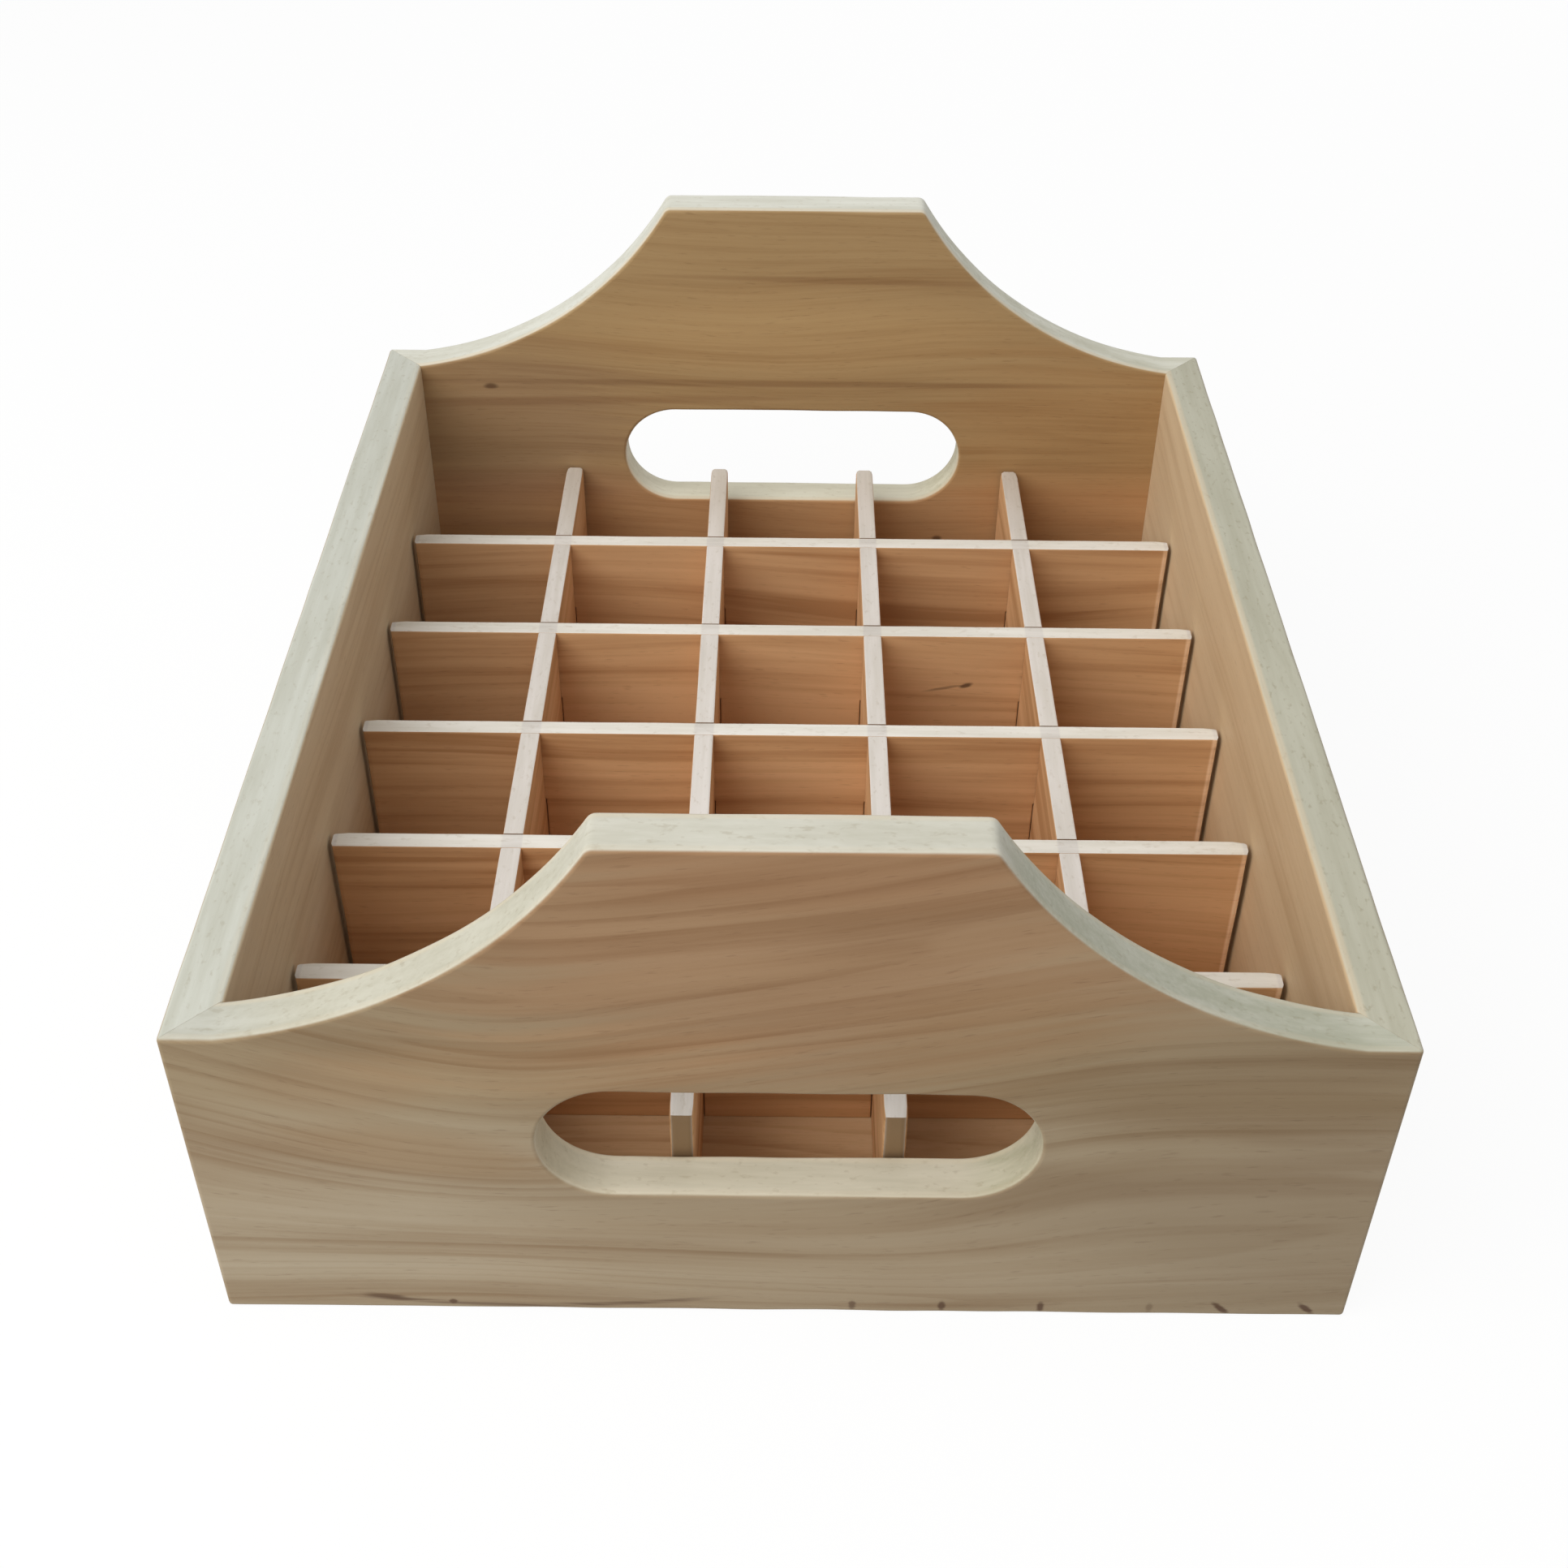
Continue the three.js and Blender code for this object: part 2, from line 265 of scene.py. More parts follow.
# Sizes and names from the frame.
case_low, case_high = cad_box
case_width = case_high[0] - case_low[0]
case_depth = case_high[1] - case_low[1]
peak_height = case_high[2]
side_low, side_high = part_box("left_panel")
wall = side_high.x - side_low.x
rim_height = side_high.z
floor_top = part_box("bottom_panel")[1].z
inner_width = case_width - 2 * wall
inner_depth = case_depth - 2 * wall
long_names = [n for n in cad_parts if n.startswith("long_divider")]
cross_names = [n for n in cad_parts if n.startswith("cross_divider")]
brad_names = [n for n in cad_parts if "brad" in n]


def middle(node):
    low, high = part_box(node)
    return (low + high) / 2


long_places = [middle(n).x for n in long_names]
cross_places = [middle(n).y for n in cross_names]


# Outlines, as points in the plane of a board.

def arc(centre, radius, start, end):
    """Points on a circle from one angle to another, both ends included."""
    turn = (end - start) / ARC_STEPS
    angles = [start + i * turn for i in range(ARC_STEPS + 1)]
    return [Vector((centre[0] + radius * math.cos(a), centre[1] + radius * math.sin(a))) for a in angles]


def eased_corner(start, corner, end):
    """Points on a curve that cuts a corner, without its start."""
    shares = [i / CORNER_STEPS for i in range(1, CORNER_STEPS + 1)]
    return [start * (1 - t) ** 2 + corner * (2 * t * (1 - t)) + end * t ** 2 for t in shares]


def densify(points):
    """The closed outline with extra points, so that no stretch is longer than a step."""
    dense = []
    for i, point in enumerate(points):
        following = points[(i + 1) % len(points)]
        count = max(1, math.ceil((following - point).length / OUTLINE_STEP))
        dense += [point.lerp(following, k / count) for k in range(count)]
    return dense


def end_outline():
    """An end wall seen from outside: flat over the side walls, concave shoulders and a straight peak."""
    half = case_width / 2 + END_OVERRUN
    foot = Vector((inner_width / 2, rim_height))
    peak = Vector((PEAK_FLAT / 2, peak_height))
    chord = peak - foot
    reach = math.sqrt(SHOULDER_RADIUS ** 2 - chord.length_squared / 4)
    centre = (foot + peak) / 2 + Vector((chord.y, -chord.x)).normalized() * reach
    start = math.atan2(foot.y - centre.y, foot.x - centre.x)
    end = math.atan2(peak.y - centre.y, peak.x - centre.x) + PEAK_EASE / SHOULDER_RADIUS
    shoulder = arc(centre, SHOULDER_RADIUS, start, end)
    shoulder += eased_corner(shoulder[-1], peak, peak - Vector((PEAK_EASE, 0)))
    right = [Vector((half, 0)), Vector((half, rim_height))] + shoulder
    left = [Vector((-p.x, p.y)) for p in reversed(right)]
    return right + left


def hand_hole():
    """The hand hole's outline, turning the other way round from the wall's."""
    radius = HAND_HOLE_HEIGHT / 2
    straight = HAND_HOLE_LENGTH / 2 - radius
    right = arc((straight, HAND_HOLE_CENTRE), radius, QUARTER_TURN, -QUARTER_TURN)
    left = arc((-straight, HAND_HOLE_CENTRE), radius, -QUARTER_TURN, -3 * QUARTER_TURN)
    return right + left


def side_outline():
    half = case_depth / 2 + END_OVERRUN
    return [Vector((half, 0)), Vector((half, rim_height)), Vector((-half, rim_height)), Vector((-half, 0))]


def divider_outline(length, height, crossings, thickness, from_top):
    """A divider's outline with a slot for each one that crosses it, from below or from the top."""
    half = length / 2
    slot = thickness / 2 + SLOT_FIT
    depth = height / 2 + SLOT_FIT
    corners = [(-half, 0)]
    for place in sorted(crossings):
        corners += [(place - slot, 0), (place - slot, depth), (place + slot, depth), (place + slot, 0)]
    corners += [(half, 0), (half, height), (-half, height)]
    points = [Vector(corner) for corner in corners]
    if from_top:
        points = [Vector((-p.x, height - p.y)) for p in points]
    return points


def inward(points):
    """For each point of an outline, the way into the wood that keeps one distance from both sides."""
    ways = []
    for i, point in enumerate(points):
        before = (point - points[i - 1]).normalized()
        after = (points[(i + 1) % len(points)] - point).normalized()
        mitre = Vector((-before.y - after.y, before.x + after.x)).normalized()
        ways.append(mitre / max(NARROWEST_MITRE, mitre.dot(Vector((-after.y, after.x)))))
    return ways


# Boards made from outlines, standing in X and Z and centred on Y.

def arris_profile(arris, steps):
    """A quarter round with a short flat at both ends, as shares of an arris: into the face, then off it."""
    flat = 1 + ARRIS_GUARD / arris
    angles = [k * QUARTER_TURN / steps for k in range(steps + 1)]
    return [(flat, 0)] + [(1 - math.sin(a), 1 - math.cos(a)) for a in angles] + [(0, flat)]


def worn_arris(points, number, arris, wear, end_start):
    """The arris at each point of a board's outline: uneven, and larger past the start of the ends."""
    worn = []
    for point in points:
        unevenness = noise.noise(Vector((point.x / WEAR_PITCH + wear, point.y / WEAR_PITCH, number)))
        size = DIVIDER_END_ARRIS if abs(point.x) > end_start else arris
        worn.append(size * (1 + ARRIS_WEAR * unevenness))
    return worn


def eased_board(loops, thickness, arris, steps, wear, end_start=math.inf):
    """Outlines swept through a board's thickness, with worn rounded edges."""
    bm = bmesh.new()
    profile = arris_profile(arris, steps)
    caps = {-1: [], 1: []}
    for number, points in enumerate(loops):
        ways = inward(points)
        worn = worn_arris(points, number, arris, wear, end_start)
        rings = []
        for side in caps:
            band = []
            for inset, sink in profile:
                ring = []
                for point, way, size in zip(points, ways, worn):
                    moved = point + way * (inset * size)
                    ring.append(bm.verts.new((moved.x, side * (thickness / 2 - sink * size), moved.y)))
                band.append(ring)
            caps[side].append(band[0])
            rings += band if side < 0 else band[::-1]
        for first, second in zip(rings, rings[1:]):
            for i in range(len(points)):
                j = (i + 1) % len(points)
                bm.faces.new((first[i], second[i], second[j], first[j]))
    for outlines in caps.values():
        corners = [v for ring in outlines for v in ring]
        for triangle in tessellate_polygon([[v.co for v in ring] for ring in outlines]):
            bm.faces.new([corners[c] for c in triangle])
    bmesh.ops.recalc_face_normals(bm, faces=bm.faces)
    return bm


def split(bm, point, normal, clear=False):
    """Splits a board along a plane, and takes away what lies beyond it if asked."""
    geometry = bm.verts[:] + bm.edges[:] + bm.faces[:]
    bmesh.ops.bisect_plane(bm, geom=geometry, dist=SAME_PLACE, plane_co=point, plane_no=normal,
                           clear_outer=clear)


def cut(bm, point, normal):
    """Takes away what lies beyond a plane and closes the cut."""
    split(bm, point, normal, clear=True)
    bmesh.ops.holes_fill(bm, edges=[e for e in bm.edges if e.is_boundary], sides=0)


def round_corners(bm, span):
    """Rounds the two upright outer edges of a wall, up to the mitres where it meets its neighbours."""
    start = span / 2 - CORNER_RADIUS
    for side in (-1, 1):
        for k in range(CORNER_STEPS + 1):
            reach = start + CORNER_RADIUS * math.sin(k / CORNER_STEPS * QUARTER_TURN / 2)
            split(bm, (side * reach, 0, 0), (side, 0, 0))
    for vert in bm.verts:
        out = min(abs(vert.co.x) - start, CORNER_RADIUS)
        if out > 0 and vert.co.y < OUTER_ARRIS_DEPTH - wall / 2:
            vert.co.y += CORNER_RADIUS - math.sqrt(CORNER_RADIUS ** 2 - out ** 2)


def to_object(bm, name):
    """A new object that holds a finished mesh, not yet in the scene."""
    mesh = bpy.data.meshes.new(name)
    bm.to_mesh(mesh)
    bm.free()
    return bpy.data.objects.new(name, mesh)


def block(low, high):
    """A cutting block between two corners."""
    bm = bmesh.new()
    matrix = Matrix.Translation((high + low) / 2) @ Matrix.Diagonal((high - low).to_4d())
    bmesh.ops.create_cube(bm, size=1, matrix=matrix)
    return to_object(bm, "block")


def drill(at, direction, radius, depth):
    """A round cutter along a direction, from a little outside a surface to a depth below it."""
    bm = bmesh.new()
    turn = Vector((0, 0, 1)).rotation_difference(direction).to_matrix().to_4x4()
    matrix = Matrix.Translation(at) @ turn @ Matrix.Translation((0, 0, (depth - CUTTER_OVERRUN) / 2))
    size = {"radius1": radius, "radius2": radius, "depth": depth + CUTTER_OVERRUN}
    bmesh.ops.create_cone(bm, cap_ends=True, segments=DRILL_SIDES, matrix=matrix, **size)
    return to_object(bm, "drill")


def carve(piece, cutters):
    """Cuts each cutter out of the piece and removes the cutters."""
    for cutter in cutters:
        bpy.context.scene.collection.objects.link(cutter)
        modifier = piece.modifiers.new("cut", "BOOLEAN")
        modifier.operation = "DIFFERENCE"
        modifier.solver = "EXACT"
        modifier.object = cutter
    evaluated = piece.evaluated_get(bpy.context.evaluated_depsgraph_get())
    mesh = bpy.data.meshes.new_from_object(evaluated)
    piece.modifiers.clear()
    piece.data = mesh
    for cutter in cutters:
        bpy.data.objects.remove(cutter)


def add_piece(node, bm, matrix, body, material):
    """Puts a board in the scene in place of its node."""
    bm.transform(matrix)
    piece = to_object(bm, f"{node}_wood")
    bpy.context.scene.collection.objects.link(piece)
    piece.data.materials.append(material)
    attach(piece, body)
    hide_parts(node)
    return piece


def finish_surface(piece):
    """Smooth shading that stays crisp at the cut edges."""
    piece.data.shade_smooth()
    piece.data.set_sharp_from_angle(angle=SHARP_ANGLE)


# Materials, built out of nodes. The mix node has sockets for each kind of value: these are the colours'.
MIX_FIRST = 6
MIX_SECOND = 7
MIX_RESULT = 2


def rgb(red, green, blue):
    return (red, green, blue, 1.0)


def grey(level):
    return rgb(level, level, level)


def shade(colour, share):
    return rgb(*(c * k for c, k in zip(colour, share)))


class Shader:
    """Builds a material or a world out of nodes."""

    def __init__(self, owner):
        self.owner = owner
        owner.use_nodes = True
        self.tree = owner.node_tree
        self.tree.nodes.clear()

    def node(self, kind, inputs=(), **settings):
        """A new node with its settings, and with its inputs set or linked."""
        made = self.tree.nodes.new(kind)
        for key, value in settings.items():
            setattr(made, key, value)
        for key, value in dict(inputs).items():
            if isinstance(value, bpy.types.NodeSocket):
                self.tree.links.new(value, made.inputs[key])
            else:
                made.inputs[key].default_value = value
        return made

    def math(self, operation, a, b=0.0, c=0.0):
        return self.node("ShaderNodeMath", {0: a, 1: b, 2: c}, operation=operation).outputs[0]

    def vector(self, operation, a, b):
        return self.node("ShaderNodeVectorMath", {0: a, 1: b}, operation=operation).outputs["Vector"]

    def noise(self, vector, layer, pitch=1.0):
        """A layer of noise, with its cycles up the board made closer by a pitch."""
        along, across, up = layer.stretch
        scaled = self.vector("MULTIPLY", vector, (along, across, up * pitch))
        inputs = {"Vector": scaled, "Scale": 1.0, "Detail": layer.detail, "Roughness": layer.rough}
        return self.node("ShaderNodeTexNoise", inputs).outputs["Fac"]

    def smooth(self, value, low, high, start=0.0, end=1.0):
        """A soft step from start to end, as the value goes from low to high."""
        inputs = {"Value": value, "From Min": low, "From Max": high, "To Min": start, "To Max": end}
        return self.node("ShaderNodeMapRange", inputs, interpolation_type="SMOOTHSTEP").outputs["Result"]

    def mix(self, factor, a, b, blend="MIX"):
        inputs = {0: factor, MIX_FIRST: a, MIX_SECOND: b}
        return self.node("ShaderNodeMix", inputs, data_type="RGBA", blend_type=blend).outputs[MIX_RESULT]

    def ramp(self, factor, places, colours):
        made = self.node("ShaderNodeValToRGB", {"Fac": factor})
        elements = made.color_ramp.elements
        while len(elements) < len(places):
            elements.new(MIDDLE)
        for element, place, colour in zip(elements, places, colours):
            element.position = place
            element.color = colour
        return made.outputs["Color"]

    def tinted(self, colour, tint, share):
        return self.mix(share, colour, self.mix(1.0, colour, rgb(*tint), "MULTIPLY"))

    def bump(self, height, strength, distance):
        inputs = {"Strength": strength, "Distance": distance, "Height": height}
        return self.node("ShaderNodeBump", inputs).outputs["Normal"]

    def seen(self):
        """1 for rays from the camera, in reflections and through glass, 0 for light that falls on things."""
        path = self.node("ShaderNodeLightPath").outputs
        direct = self.math("MAXIMUM", path["Is Camera Ray"], path["Is Glossy Ray"])
        return self.math("MAXIMUM", direct, path["Is Transmission Ray"])

    def finish(self, surface):
        kind = "World" if isinstance(self.owner, bpy.types.World) else "Material"
        self.tree.links.new(surface, self.node(f"ShaderNodeOutput{kind}").inputs["Surface"])
        return self.owner


class Wood(Shader):
    """Solid wood with its grain along a board turned about Z: softly streaked faces and pale cut edges,
    partly painted sky light.
    """

    def __init__(self, name, turn, look):
        super().__init__(bpy.data.materials.new(name))
        self.look = look
        place = self.node("ShaderNodeTexCoord").outputs
        spin = {"Rotation": (0, 0, -turn)}
        local = self.node("ShaderNodeMapping", {"Vector": place["Object"], **spin}).outputs[0]
        normal = self.node("ShaderNodeMapping", {"Vector": place["Normal"], **spin}).outputs[0]
        self.at = self.node("ShaderNodeSeparateXYZ", {0: local}).outputs
        self.facing = self.node("ShaderNodeSeparateXYZ", {0: normal}).outputs
        self.grain = self.vector("ADD", local, [look.seed * move for move in SEED_MOVE])

    def faces_along(self, axis, turn):
        """1 where the surface looks along an axis, either way, by more than the end of a turn."""
        return self.smooth(self.math("ABSOLUTE", self.facing[axis]), *turn)

    def lay_grain(self, sweep):
        """Growth layers that drift up and down along the board, from broad bands to single fibres."""
        drift = self.math("SUBTRACT", self.noise(self.grain, DRIFT), MIDDLE)
        rise = self.math("MULTIPLY", drift, -DRIFT_FALL)
        if sweep:
            rise = self.math("SUBTRACT", rise, sweep(self))
        flow = self.vector("ADD", self.grain, self.node("ShaderNodeCombineXYZ", {"Z": rise}).outputs[0])
        self.bands = self.noise(flow, BANDS, self.look.pitch)
        self.streaks = self.noise(flow, STREAKS)
        self.fibres = self.noise(flow, FIBRES)
        ring = self.math("FRACT", self.math("MULTIPLY", self.noise(flow, RINGS), RING_COUNT))
        self.late = self.math("MULTIPLY", self.smooth(ring, *LATE_START), self.smooth(ring, *LATE_END))
        self.pores = self.smooth(self.noise(flow, PORES), *PORE_FADE)

    def face_colour(self, zones, marks):
        """The flat of the board: early and late growth, pores, tinted zones and dark marks."""
        look = self.look
        blotches = self.noise(self.grain, BLOTCHES)
        layers = ((self.bands, look.bands), (self.streaks, look.streaks), (self.fibres, look.fibres),
                  (blotches, BLOTCH_TONE))
        tone = self.math("MULTIPLY_ADD", self.late, LATE_TONE, EARLY_TONE)
        for layer, weight in layers:
            tone = self.math("MULTIPLY_ADD", self.math("SUBTRACT", layer, MIDDLE), weight, tone)
        tone = self.math("MULTIPLY_ADD", tone, look.contrast, MIDDLE)
        shades = (shade(look.face, DARK_SHARE), rgb(*look.face), shade(look.face, LIGHT_SHARE))
        colour = self.mix(self.pores, self.ramp(tone, TONES, shades), shade(look.face, PORE_SHARE))
        for tint, zone in zones:
            colour = self.tinted(colour, tint, zone(self, self.streaks))
        for mark in marks:
            colour = self.mix(mark(self, self.fibres), colour, rgb(*KNOT))
        return colour

    def edge_colour(self, zones, lines):
        """The sawn and sanded edges: paler, partly painted sky light, with specks of open grain and painted
        highlights on an arris.
        """
        edge = self.look.edge
        fibres = self.math("MULTIPLY", self.fibres, FIBRE_TONE)
        sawn = self.math("MULTIPLY_ADD", self.noise(self.grain, SAW_MARKS), SAW_MARK_TONE, fibres)
        share = self.smooth(sawn, *SAWN_FADE)
        colour = self.mix(share, shade(edge, SAWN_DARK_SHARE), shade(edge, SAWN_LIGHT_SHARE))
        self.specks = self.smooth(self.noise(self.grain, GRIT), *SPECK_FADE, 0.0, self.look.specks)
        colour = self.mix(self.specks, colour, shade(edge, SPECK_SHARE))
        if self.look.end:
            colour = self.mix(self.faces_along("X", END_TURN), colour, rgb(*self.look.end))
        for tint, zone in zones:
            colour = self.tinted(colour, tint, zone(self, sawn))
        # Painted highlights: pale lines near an arris, where light would catch it.
        for start, end, strength in lines:
            colour = self.mix(self.smooth(self.at["Y"], start, end, 0.0, strength), colour, rgb(*ARRIS_HIGHLIGHT))
        return colour

    def face_mask(self, corner):
        """1 on the flats and on the upright corners beyond a distance from the middle, 0 on the cut edges."""
        on_flat = self.faces_along(self.look.flat, FLAT_TURN)
        if corner is None:
            return on_flat
        upright = self.faces_along("Z", UPRIGHT_TURN)
        near = self.smooth(self.math("ABSOLUTE", self.at["X"]), corner - CORNER_FADE, corner)
        return self.math("MAXIMUM", on_flat, self.math("MULTIPLY", upright, near))

    def surface(self, colour):
        """A dull sanded surface with raised fibres and sunken pores."""
        streaks = self.math("MULTIPLY", self.streaks, STREAK_RELIEF)
        raised = self.math("MULTIPLY_ADD", self.fibres, FIBRE_RELIEF, streaks)
        sunken = self.math("MULTIPLY_ADD", self.specks, SPECK_RELIEF, self.pores)
        normal = self.bump(self.math("SUBTRACT", raised, sunken), BUMP_STRENGTH, WOOD_BUMP)
        rough = self.smooth(self.streaks, *WOOD_ROUGHNESS)
        inputs = {"Base Color": colour, "Roughness": rough, "Normal": normal}
        inputs["Specular IOR Level"] = WOOD_SPECULAR
        return self.node("ShaderNodeBsdfPrincipled", inputs).outputs[0]


def wood(node, turn, look, corner=None, sweep=None, zones=(), marks=(), edge_zones=(), lines=()):
    """The material of a board, with tints and marks for its faces and tints and painted highlights for its
    edges.
    """
    s = Wood(f"{node}_wood", turn, look)
    s.lay_grain(sweep)
    face = s.face_colour(zones, marks)
    edge = s.edge_colour(edge_zones, lines)
    return s.finish(s.surface(s.mix(s.face_mask(corner), edge, face)))


def steel():
    """Bright drawn wire with fine scratches."""
    s = Shader(bpy.data.materials.new("brad_steel"))
    place = s.node("ShaderNodeTexCoord").outputs["Object"]
    scratches = s.noise(place, SCRATCHES)
    colour = s.ramp(s.noise(place, TARNISH), WIRE_TONES, (rgb(*DULL_WIRE), rgb(*BRIGHT_WIRE)))
    normal = s.bump(scratches, BUMP_STRENGTH, WIRE_BUMP)
    rough = s.smooth(scratches, *WIRE_ROUGHNESS)
    inputs = {"Base Color": colour, "Metallic": 1.0, "Roughness": rough, "Normal": normal}
    return s.finish(s.node("ShaderNodeBsdfPrincipled", inputs).outputs[0])


# Masks of marks and tinted zones. Each is a function of the wood and of a layer that makes it ragged.

def spot(x, z, width, height, strength=1.0, lean=0.0):
    """A pin knot, a dent's dark mark or a tinted patch: place, half sizes, depth and slant."""
    def mask(s, ragged):
        off = s.math("SUBTRACT", s.at["X"], x)
        up = s.math("SUBTRACT", s.math("SUBTRACT", s.at["Z"], z), s.math("MULTIPLY", off, lean))
        along = s.math("POWER", s.math("DIVIDE", off, width), 2.0)
        across = s.math("POWER", s.math("DIVIDE", up, height), 2.0)
        away = s.math("SQRT", s.math("ADD", along, across))
        border = s.math("MULTIPLY_ADD", ragged, SPOT_RAGGED, -SPOT_RAGGED / 2)
        return s.smooth(s.math("ADD", away, border), *SPOT_FADE, 0.0, strength)
    return mask


def ring_line(x, z, radius, width, reach, strength):
    """A thin growth line that curves up to both sides of its lowest point."""
    def mask(s, ragged):
        off = s.math("SUBTRACT", s.at["X"], x)
        curve = s.math("MULTIPLY_ADD", s.math("POWER", off, 2.0), 0.5 / radius, z)
        gap = s.math("ABSOLUTE", s.math("SUBTRACT", s.at["Z"], curve))
        line = s.smooth(gap, width, LINE_CORE * width, 0.0, strength)
        ends = s.smooth(s.math("ABSOLUTE", off), reach, LINE_REACH * reach)
        return s.math("MULTIPLY", s.math("MULTIPLY", line, ends), s.smooth(ragged, *LINE_BREAKS))
    return mask


def joint_squares(offset, pitch, half):
    """The squares along a divider's edge where others cross it, a pitch apart."""
    def mask(s, ragged):
        away = s.math("PINGPONG", s.math("SUBTRACT", s.at["X"], offset), pitch / 2)
        square = s.smooth(away, half + JOINT_FADE, half - JOINT_FADE)
        return s.math("MULTIPLY", square, s.smooth(ragged, *JOINT_STREAKS))
    return mask


def beyond(axis, start, end, low=1.0):
    """All that lies past a place along the board or up it, in streaks down to a low share."""
    def mask(s, ragged):
        return s.math("MULTIPLY", s.smooth(s.at[axis], start, end), s.smooth(ragged, *ZONE_STREAKS, low, 1.0))
    return mask


def inside(s, ragged):
    """The face of a wall that looks into the case."""
    low, high = SIDE_TURN
    return s.smooth(s.facing["Y"], low, high)


def outside(s, ragged):
    """The face of a wall that looks away from the case."""
    low, high = SIDE_TURN
    return s.smooth(s.facing["Y"], high, low)


def both(first, second):
    """Where two masks overlap."""
    def mask(s, ragged):
        return s.math("MULTIPLY", first(s, ragged), second(s, ragged))
    return mask


def inner_highlight(reach, strength):
    """The painted highlight along the inner arris of a wall, for a case that measures this across its walls.
    """
    inner = wall - reach / 2
    start, end = INNER_HIGHLIGHT
    return (inner - start, inner - end, strength)


def outer_highlight(reach, strength):
    """The painted highlight along the outer arris of a wall, for a case that measures this across its walls.
    """
    outer = -reach / 2
    start, end = OUTER_HIGHLIGHT
    return (outer + start, outer + end, strength)


# The walls.

def bottom_recess():
    """A cutter for the room that the bottom board and its rabbet take."""
    corner = Vector((inner_width / 2 + RABBET_WIDTH, inner_depth / 2 + RABBET_WIDTH, 0))
    return block(-corner - Vector((0, 0, CUTTER_OVERRUN)), corner + Vector((0, 0, floor_top)))


def brad_holes(node):
    """Cutters for the heads of the brads in a side wall, and none in an end wall."""
    out = {"left_panel": -1, "right_panel": 1}.get(node, 0)
    places = [middle(n) for n in brad_names if n.startswith("corner")]
    heads = [Vector((out * case_width / 2, at.y, at.z)) for at in places if at.x * out > 0]
    return [drill(head, Vector((-out, 0, 0)), BRAD_HOLE_RADIUS, BRAD_HOLE_DEPTH) for head in heads]


def add_wall(node, loops, span, reach, turn, wear, material):
    """A wall with mitred ends, in a case that measures the span along it and the reach across it."""
    board = eased_board([densify(loop) for loop in loops], wall, WALL_ARRIS, WALL_ARRIS_STEPS, wear)
    round_corners(board, span)
    for side in (-1, 1):
        cut(board, (side * (span / 2 - GLUE_LINE), -wall / 2, 0), Vector((side, 1, 0)).normalized())
    matrix = Matrix.Rotation(turn, 4, "Z") @ Matrix.Translation((0, (wall - reach) / 2, 0))
    piece = add_piece(node, board, matrix, "case", material)
    carve(piece, [bottom_recess()] + brad_holes(node))
    finish_surface(piece)


def add_end_wall(node, turn, wear, look, **finish):
    material = wood(node, turn, look, case_width / 2 - CORNER_RADIUS, **finish)
    add_wall(node, [end_outline(), hand_hole()], case_width, case_depth, turn, wear, material)


def add_side_wall(node, turn, wear, look, **finish):
    material = wood(node, turn, look, case_depth / 2 - CORNER_RADIUS, **finish)
    add_wall(node, [side_outline()], case_depth, case_width, turn, wear, material)


def front_sweep(s):
    """The front's growth layers: falling from the left, rising through the middle, level low down."""
    def past(place, soft):
        """The distance from a place along the board, softened near it, and the same with its sign."""
        off = s.math("SUBTRACT", s.at["X"], place)
        return s.math("SQRT", s.math("MULTIPLY_ADD", off, off, soft ** 2)), off

    valley, _ = past(VALLEY_PLACE, VALLEY_SOFT)
    shoulder, off = past(SHOULDER_PLACE, SHOULDER_SOFT)
    fall = s.math("MULTIPLY", valley, VALLEY_SLOPE)
    wave = s.math("MULTIPLY_ADD", s.math("ADD", shoulder, off), SHOULDER_SLOPE, fall)
    return s.math("MULTIPLY", wave, s.smooth(s.at["Z"], *SWEEP_HEIGHTS))


